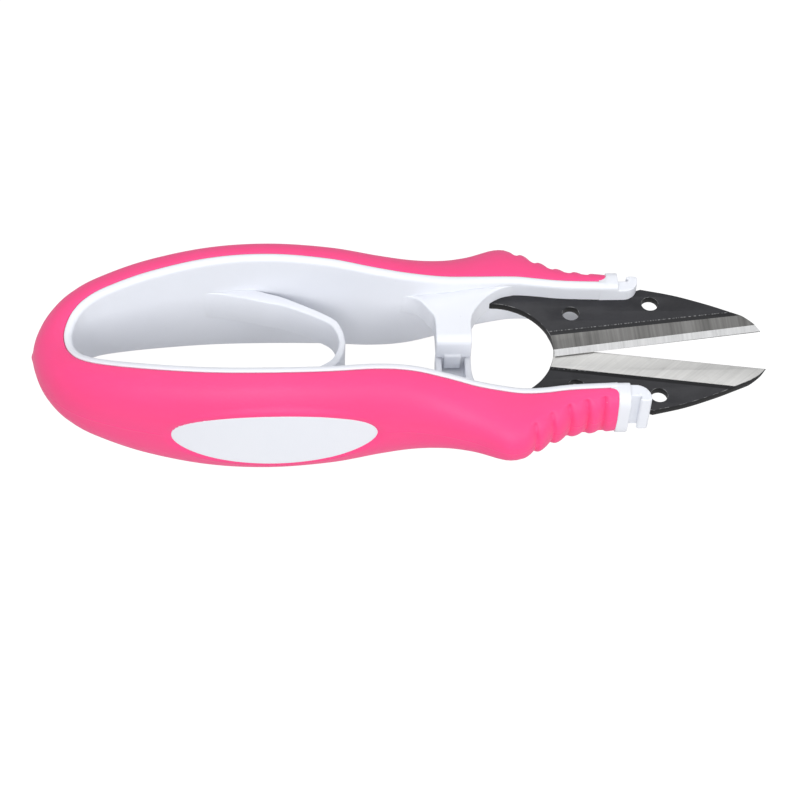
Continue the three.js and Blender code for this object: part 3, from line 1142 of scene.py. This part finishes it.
@dataclass
class Noses:
    """The white end of each arm: flange against the grip, neck and hooked lip."""

    white: bpy.types.Material
    root: float = 97.3
    start: float = 98.4
    neck: float = 100.5
    lip: float = 102.45
    end: float = 104.1
    inner: float = 10.15
    inner_round: float = 0.85
    middle: float = 11.4
    outer: float = 13.5
    floor: float = 12.4
    half: float = 4.0
    flange_half: float = 5.11
    flange_out: float = 3.0
    flange_power: float = 4.0
    corner: float = 2.6
    voxel: float = 0.12
    rounds: int = 7

    def build(self) -> None:
        """Makes both noses."""
        for side in Side:
            name = f"{side.word}_nose_block"
            piece = mould(name, [self._flange(), self._hook()], [], self.voxel, self.rounds)
            place_piece(piece, side, [self.white], 60)
            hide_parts(f"{side.word}_nose")
            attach(piece, side.body)

    def _flange(self) -> bpy.types.Object:
        """The crowned flange that closes the grip."""
        r, half = self.inner_round, self.flange_half
        turn = [(self.inner + r * (1 - math.cos(a)), half - r * (1 - math.sin(a)))
                for a in np.linspace(0, math.pi / 2, 6)]
        rings = []
        for x, out in ((self.root, 1.0), (self.start, 1.0), (self.start + 0.04, self.flange_out),
                       (self.neck, self.flange_out)):
            ring = [(y, -z) for y, z in reversed(turn)] + turn
            for t in np.linspace(math.pi / 2, -math.pi / 2, 33)[1:-1]:
                share = math.copysign(abs(math.sin(t)) ** (2 / self.flange_power), t)
                u = out * max(0.0, math.cos(t)) ** (2 / self.flange_power)
                ring.append((self.middle + u, half * share))
            rings.append([(x, y, z) for y, z in ring])
        return loft("flange", rings)

    def _hook(self) -> bpy.types.Object:
        """The neck and the lip that curls over it."""
        r = self.corner
        turn = [(self.end - r + r * math.sin(a), self.inner + r - r * math.cos(a))
                for a in np.linspace(0, math.pi / 2, 9)]
        outline = [(self.start + 0.5, self.inner), *turn, (self.end, self.outer - 0.35),
                   (self.end - 0.35, self.outer), (self.lip, self.outer + 0.02),
                   (self.lip - 0.35, self.outer - 0.3), (self.lip - 0.1, self.outer - 0.6),
                   (self.lip, self.floor), (self.start + 0.5, self.floor)]
        return prism(outline, -self.half, self.half)


# ---------------------------------------------------------------- blades


@dataclass
class Blades:
    """Two coated blades with ground bevels, honed edges and a bright land on their flat sides."""

    finishes: dict[Side, list[bpy.types.Material]]
    bottom: float = 0.1
    top: float = 1.6
    corner: float = 0.07
    arch: tuple[float, float, float] = (78.2, -1.2, 10.7)
    holes: tuple[Point2, ...] = ((92.2, 7.2), (106.15, 9.2))
    hole_radius: float = 1.45
    honing: tuple[float, float] = (1.05, 0.72)
    edge_z: float = 0.12
    grind: float = 3.5
    grind_taper: float = 0.015
    step_run: float = 0.3
    step_depth: float = 0.14
    spine: tuple[Point2, ...] = ((104.8, 12.45), (110.4, 11.05), (115.8, 9.1), (119.5, 7.5), (122.0, 6.35),
                                 (123.8, 5.15), (125.0, 3.95))
    tang: tuple[Point2, ...] = ((103.0, 11.8), (101.5, 11.4), (84.2, 11.85), (80.2, 11.5))
    rear: tuple[Point2, ...] = ((78.6, 10.9), (77.85, 10.2), (77.9, 9.65), (78.5, 9.46))

    def build(self) -> None:
        """Makes both blades."""
        for side in Side:
            piece = self._grind(self._plate(f"{side.word}_snip_blade"))
            place_piece(piece, side, self.finishes[side], 25)
            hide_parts(f"{side.word}_blade")
            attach(piece, side.body)

    def _outline(self) -> list[Point2]:
        """The blade's plan, from the heel along the edge and back over the spine."""
        cx, cy, r = self.arch
        heel = math.atan2(CUTTING_EDGE.start[1] - cy, CUTTING_EDGE.start[0] - cx)
        arch = [(cx + r * math.cos(a), cy + r * math.sin(a)) for a in np.linspace(1.45, heel, 40)]
        spine = catmull(self.spine, 5)
        return [*reversed(spine), *self.tang, *self.rear, *arch]

    def _plate(self, name: str) -> bpy.types.Object:
        """The flat blade with its holes and softened corners."""
        curve = bpy.data.curves.new(name, "CURVE")
        curve.dimensions = "2D"
        curve.fill_mode = "BOTH"
        curve.extrude = (self.top - self.bottom) / 2 - self.corner
        curve.bevel_depth = self.corner
        curve.bevel_resolution = 1
        curve.offset = -self.corner
        loops = [self._outline()]
        for x, y in self.holes:
            turns = np.linspace(0, 2 * math.pi, 41)[:-1]
            r = self.hole_radius
            loops.append([(x + r * math.cos(a), y + r * math.sin(a)) for a in turns])
        for loop in loops:
            spline = curve.splines.new("POLY")
            spline.points.add(len(loop) - 1)
            spline.points.foreach_set("co", [v for x, y in loop for v in (x, y, 0, 1)])
            spline.use_cyclic_u = True
        piece = bpy.data.objects.new(name, curve)
        bpy.context.scene.collection.objects.link(piece)
        bpy.context.view_layer.update()
        piece = settle(piece)
        piece.data.transform(Matrix.Translation((0, 0, (self.top + self.bottom) / 2)))
        return face_outwards(piece, 0.002)

    def _ground_planes(self) -> list[tuple[Vector, Vector]]:
        """The planes of the ground bevel and of the honed edge, as a point and a direction."""
        width, height = self.honing
        point = Vector((*CUTTING_EDGE.start, height)) + CUTTING_EDGE.across * width
        bevel = (self.top - height) / (self.grind - width)
        honed = (height - self.edge_z) / width
        rise = CUTTING_EDGE.along * bevel * self.grind_taper
        up = Vector((0, 0, 1))
        return [(point, (up - CUTTING_EDGE.across * slope - rise).normalized()) for slope in (bevel, honed)]

    def _grind(self, piece: bpy.types.Object) -> bpy.types.Object:
        """Grinds the bevel, the honed edge and the land, and gives each its finish."""
        ground, honed = self._ground_planes()
        bm = bmesh.new()
        bm.from_mesh(piece.data)
        for point, normal in (ground, honed):
            bisect(bm, point, normal, True)
        land = Vector((*LAND_END.start, 0))
        foot = land + LAND_END.across * self.step_run
        for point in (land, foot):
            bisect(bm, point, LAND_END.across, False)
        for vert in bm.verts:
            if vert.co.z < 0.5 and (vert.co - foot).dot(LAND_END.across) > -1e-4:
                vert.co.z += self.step_depth
        bmesh.ops.recalc_face_normals(bm, faces=bm.faces)
        for face in bm.faces:
            face.normal_update()
            if face.normal.dot(ground[1]) > 0.9995:
                face.material_index = 1
            elif face.normal.dot(honed[1]) > 0.9995:
                face.material_index = 2
            elif face.normal.z < -0.99 and (face.calc_center_median() - land).dot(LAND_END.across) < 0:
                face.material_index = 3
            else:
                face.material_index = 0
        bm.to_mesh(piece.data)
        bm.free()
        return piece


# ---------------------------------------------------------------- studio


@dataclass
class Studio:
    """White floor, soft lights and the camera."""

    floor_z: float = -11.95
    target: tuple[float, float, float] = (62.0 + REAR.x, 0.0, 0.0)
    azimuth: float = -4.2
    elevation: float = 52.0
    roll: float = 2.8
    distance: float = 400.0
    lens: float = 105.3
    shift: tuple[float, float] = (0.0034, -0.058)
    sky: float = 0.55

    def build(self) -> None:
        """Makes the floor, the lights and the camera."""
        bpy.context.scene.view_settings.view_transform = "Standard"
        self._floor()
        self._lights()
        self._camera()

    def _floor(self) -> None:
        """A wide white floor that glows like a light table, at half strength onto the object."""
        z = self.floor_z * MM
        mesh = bpy.data.meshes.new("studio_floor")
        mesh.from_pydata([(-3, -3, z), (3, -3, z), (3, 3, z), (-3, 3, z)], [], [(0, 1, 2, 3)])
        floor = new_object("studio_floor", mesh)
        s = Surface("pale_floor")
        seen = Link(s, s.node("ShaderNodeLightPath").outputs["Is Camera Ray"])
        mesh.materials.append(s.shade({
            "Base Color": (0.06, 0.06, 0.06, 1),
            "Roughness": 0.9,
            "Emission Color": s.mix(seen, (0.5, 0.5, 0.5, 1), (1, 1, 1, 1)),
            "Emission Strength": 1.0,
        }))

    def _lights(self) -> None:
        """An even sky, a wide light overhead, a bright one in front and a weak one at the tips."""
        world = bpy.data.worlds.new("studio_sky")
        world.use_nodes = True
        colour, strength = world.node_tree.nodes["Background"].inputs[:2]
        colour.default_value = (0.97, 0.98, 1, 1)
        strength.default_value = self.sky
        bpy.context.scene.world = world
        self._light("overhead", (-0.1, 0.2, 0.9), 0.8, 2.75)
        self._light("front", (-0.1, -0.85, 0.58), 0.5, 5.6)
        self._light("side", (0.65, -0.55, 0.4), 0.4, 1.8)

    def _light(self, name: str, place: tuple[float, float, float], size: float, power: float) -> None:
        """A square light that faces the object.

        Args:
            name: its name.
            place: its place in metres.
            size: side of the square in metres.
            power: power in watts.
        """
        data = bpy.data.lights.new(name, "AREA")
        data.size = size
        data.energy = power
        lamp = bpy.data.objects.new(name, data)
        lamp.location = place
        aim = Vector(self.target) * MM - Vector(place)
        lamp.rotation_euler = aim.to_track_quat("-Z", "Y").to_euler()
        bpy.context.scene.collection.objects.link(lamp)

    def _camera(self) -> None:
        """The camera, turned a little about its own axis."""
        az, el, roll = (math.radians(a) for a in (self.azimuth, self.elevation, self.roll))
        back = Vector((math.sin(az) * math.cos(el), -math.cos(az) * math.cos(el), math.sin(el)))
        right = Vector((math.cos(az), math.sin(az), 0))
        up = back.cross(right)
        turned_right = right * math.cos(roll) + up * math.sin(roll)
        turned_up = up * math.cos(roll) - right * math.sin(roll)
        data = bpy.data.cameras.new("camera")
        data.lens = self.lens
        data.sensor_width = 36.0
        data.shift_x, data.shift_y = self.shift
        data.clip_start = 0.01
        camera = bpy.data.objects.new("camera", data)
        turn = Matrix((turned_right, turned_up, back)).transposed().to_4x4()
        camera.matrix_world = Matrix.Translation((Vector(self.target) + back * self.distance) * MM) @ turn
        bpy.context.scene.collection.objects.link(camera)
        bpy.context.scene.camera = camera


def blade_finishes(side: Side) -> list[bpy.types.Material]:
    """The four finishes of one blade: coat, ground bevel, honed edge and bright land."""
    word = side.word
    bevel = GroundSteel(
        side, dark=(0.09, 0.089, 0.086, 1), light=(0.26, 0.257, 0.25, 1),
        lines_per_mm=1.6, slant=0.0, contrast=1.3, gloss=0.36)
    honed = GroundSteel(
        side, dark=(0.62, 0.62, 0.62, 1), light=(0.95, 0.95, 0.95, 1),
        lines_per_mm=2.4, slant=0.0, contrast=0.9, gloss=0.3)
    land = GroundSteel(
        side, dark=(0.58, 0.575, 0.56, 1), light=(0.8, 0.795, 0.775, 1),
        lines_per_mm=2.6, slant=0.9, contrast=0.9, gloss=0.34)
    return [
        BlackCoat(side).make(f"{word}_black_coat"),
        bevel.make(f"{word}_ground_bevel"),
        honed.make(f"{word}_honed_edge"),
        land.make(f"{word}_bright_land"),
    ]


def main() -> None:
    """Builds every sub-assembly in order."""
    logging.basicConfig(level=logging.INFO, format="%(name)s: %(message)s")
    white = MouldedWhite().make("moulded_white")
    pink = SoftPink().make("soft_pink")
    Studio().build()
    Handle(white, pink).build()
    GuidePosts(white).build()
    Noses(white).build()
    Blades({side: blade_finishes(side) for side in Side}).build()


if __name__ == "__main__":
    main()
